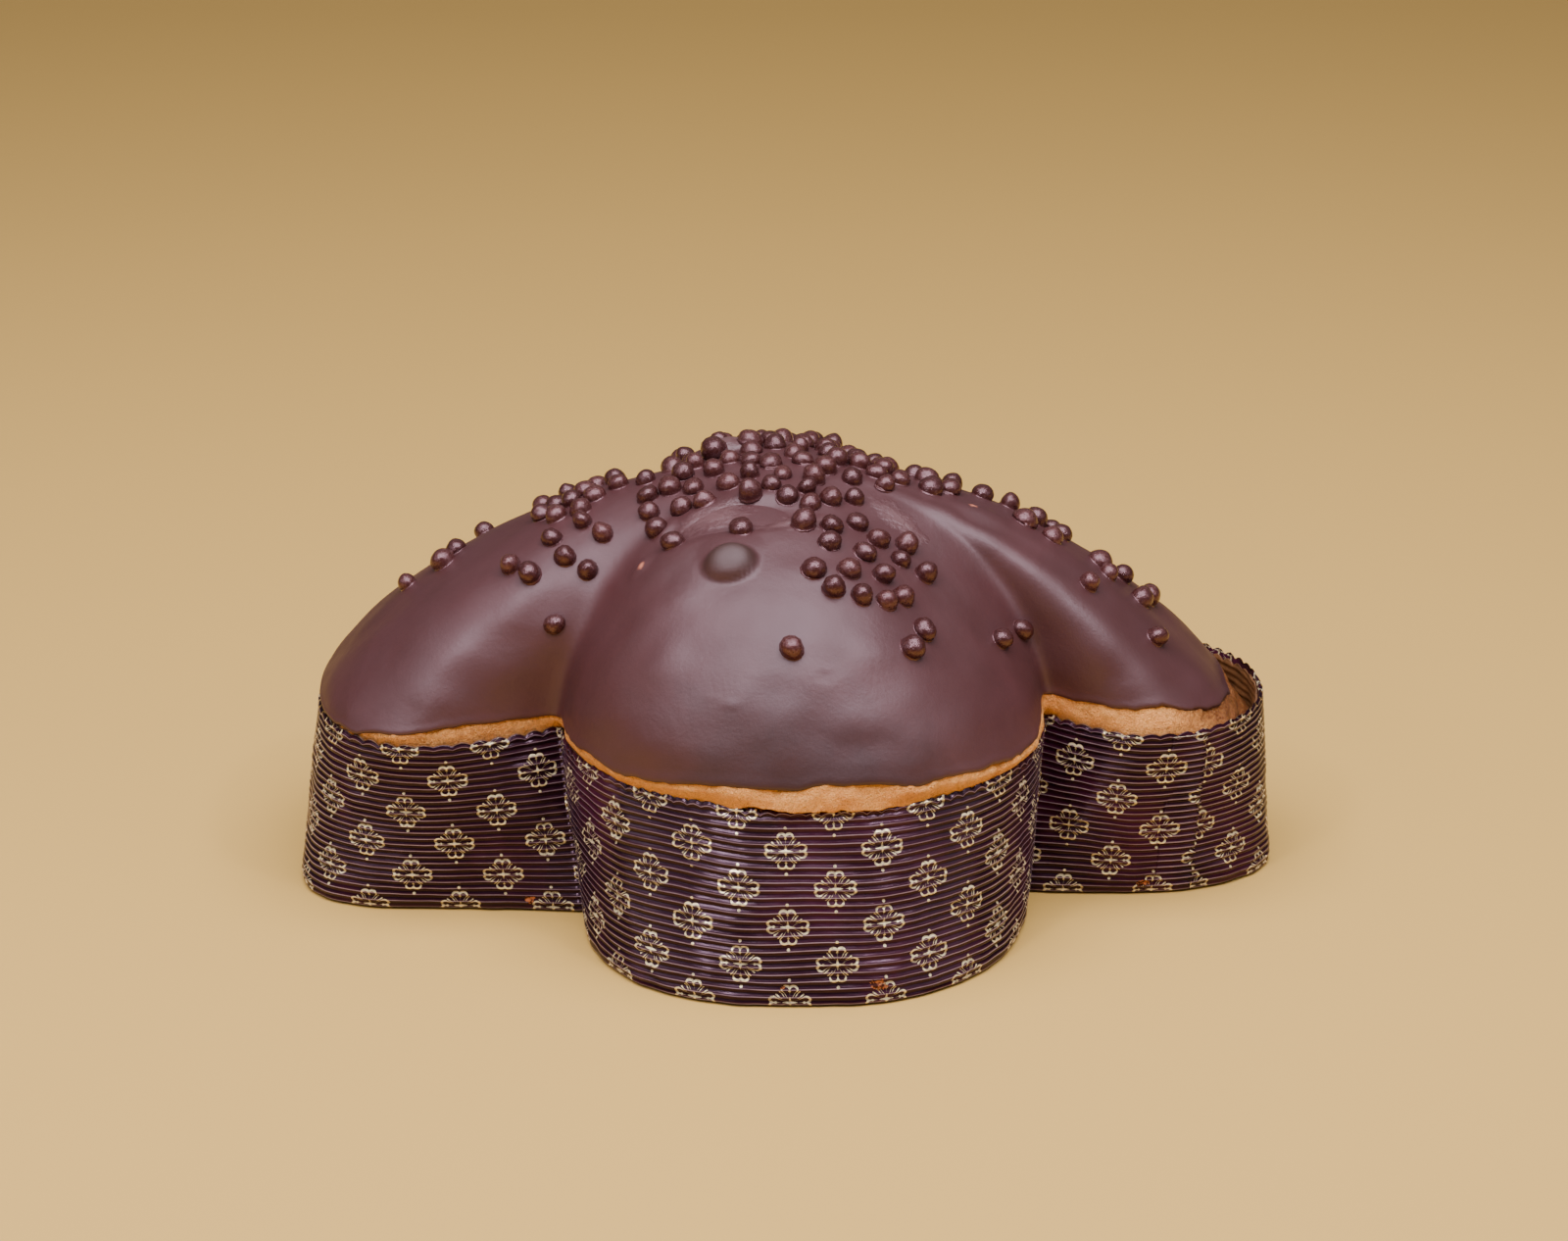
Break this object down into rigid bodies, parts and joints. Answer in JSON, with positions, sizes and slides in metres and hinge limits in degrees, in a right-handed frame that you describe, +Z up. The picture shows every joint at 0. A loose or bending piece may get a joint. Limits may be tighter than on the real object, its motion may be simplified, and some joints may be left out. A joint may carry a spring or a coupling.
{
  "type": "colomba cake",
  "caption": "Dove-shaped Easter cake with a domed chocolate glaze and chocolate pearls, in its pleated paper baking case.",
  "frame": {"origin": "on the floor, under the middle of the case's outline", "axes": "+X towards the dove's head along the length, +Y across towards the far wing, +Z up"},
  "size_m": [0.3093, 0.2112, 0.1397],
  "materials": {
    "case_paper": "satin, pleated, printed with gold flowers",
    "crust": "matte, finely porous",
    "chocolate": "satin"
  },
  "bodies": {
    "root": {"paper_case": "case_paper", "cake": "crust", "glaze": "chocolate"}
  },
  "joints": []
}
